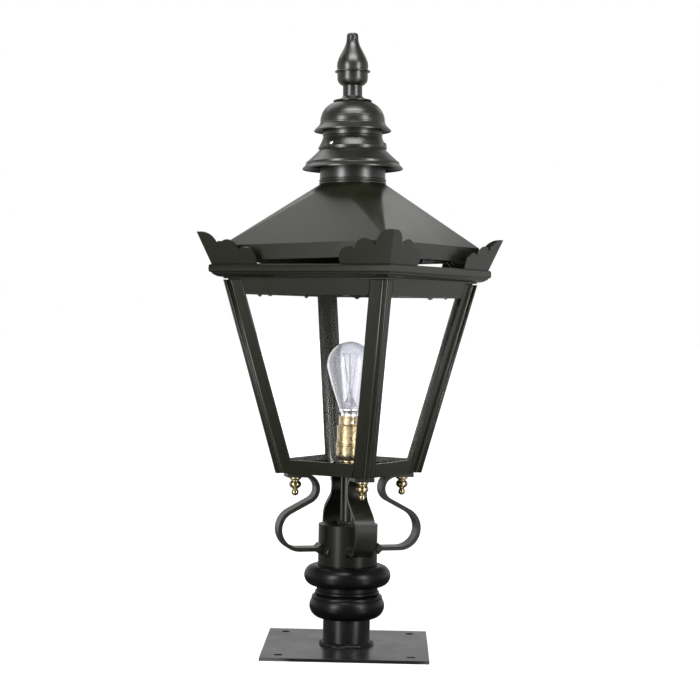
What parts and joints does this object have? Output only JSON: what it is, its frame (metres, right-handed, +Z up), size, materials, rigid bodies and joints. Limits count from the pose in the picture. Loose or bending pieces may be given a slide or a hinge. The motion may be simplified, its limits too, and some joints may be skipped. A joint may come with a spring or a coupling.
{
  "type": "pillar lantern",
  "caption": "Tapered square lantern with glass panes, vented hinged roof and finial on scrolled arms, a socket and a short tube pedestal with a square plate.",
  "frame": {"origin": "centre of the underside of the base plate", "axes": "+Z up along the pedestal tube; +X and +Y along the sides of the base plate"},
  "size_m": [0.3912, 0.3912, 0.7889],
  "materials": {
    "pedestal_paint": "satin black paint",
    "cast_paint": "satin black paint on castings",
    "lantern_paint": "satin greenish black paint",
    "roof_paint": "satin greenish black paint",
    "clear_glass": "clear",
    "polished_brass": "polished",
    "bare_steel": "bright zinc plating",
    "insulator": "ceramic and black insulator",
    "nickel_cap": "plain bright"
  },
  "bodies": {
    "pedestal": {"base_plate": "pedestal_paint", "pedestal_tube": "pedestal_paint", "tube_weld": "pedestal_paint", "moulding": "cast_paint"},
    "head": {"column_socket": "lantern_paint", "socket_screws": "lantern_paint", "arm_front": "lantern_paint", "arm_right": "lantern_paint", "arm_back": "lantern_paint", "arm_left": "lantern_paint", "finial_nuts": "polished_brass", "foot_studs": "bare_steel", "floor_tray": "lantern_paint", "bottom_rails": "lantern_paint", "post_front": "lantern_paint", "post_right": "lantern_paint", "post_back": "lantern_paint", "post_left": "lantern_paint", "top_rails": "lantern_paint", "cornice": "lantern_paint", "corner_ears": "lantern_paint", "ear_rivets": "lantern_paint", "pane_front": "clear_glass", "pane_right": "clear_glass", "pane_back": "clear_glass", "pane_left": "clear_glass", "glass_clips": "bare_steel", "clip_screws": "bare_steel", "conduit": "lantern_paint", "conduit_nuts": "bare_steel", "earth_screw": "polished_brass", "holder_cup": "polished_brass", "holder_ring": "polished_brass", "holder_barrel": "polished_brass", "holder_core": "insulator", "hinge_leaf_lower": "lantern_paint", "hinge_pin": "bare_steel"},
    "roof": {"roof_shell": "roof_paint", "roof_neck": "roof_paint", "canopy": "roof_paint", "vent_drum": "roof_paint", "drum_screws": "bare_steel", "dome": "roof_paint", "finial_cap": "cast_paint", "finial": "cast_paint", "spindle": "bare_steel", "spindle_bridge": "lantern_paint", "spindle_nuts": "bare_steel", "hinge_leaf_upper": "lantern_paint", "catch_bracket": "bare_steel", "catch_pin": "bare_steel"},
    "catch": {"spring_catch": "bare_steel"},
    "lamp": {"bulb_glass": "clear_glass", "bulb_cap": "nickel_cap", "bulb_contacts": "insulator", "bulb_stem": "clear_glass", "filament": "bare_steel"},
    "contacts": {"plungers": "polished_brass"}
  },
  "joints": [
    {"name": "head_turn", "type": "hinge", "parent": "pedestal", "child": "head", "pos_m": [0, 0, 0.13], "axis": [0, 0, 1], "continuous": true},
    {"name": "roof_hinge", "type": "hinge", "parent": "head", "child": "roof", "pos_m": [-0.10669, 0.0616, 0.4919], "axis": [-0.5, -0.866, 0], "range_deg": [-1.2, 36.8]},
    {"name": "catch_swing", "type": "hinge", "parent": "roof", "child": "catch", "pos_m": [0.09052, -0.05226, 0.50827], "axis": [-0.0181, 0.0105, 0.9998], "range_deg": [0, 5], "stiffness_Nm_per_rad": 1, "springref_deg": -2.86},
    {"name": "lamp_turn", "type": "hinge", "parent": "head", "child": "lamp", "pos_m": [0, 0, 0.29], "axis": [0, 0, 1], "range_deg": [0, 15]},
    {"name": "plunger_press", "type": "slide", "parent": "head", "child": "contacts", "axis": [0, 0, -1], "range_m": [0, 0.0025], "stiffness_N_per_m": 1500, "springref_m": -0.002}
  ]
}
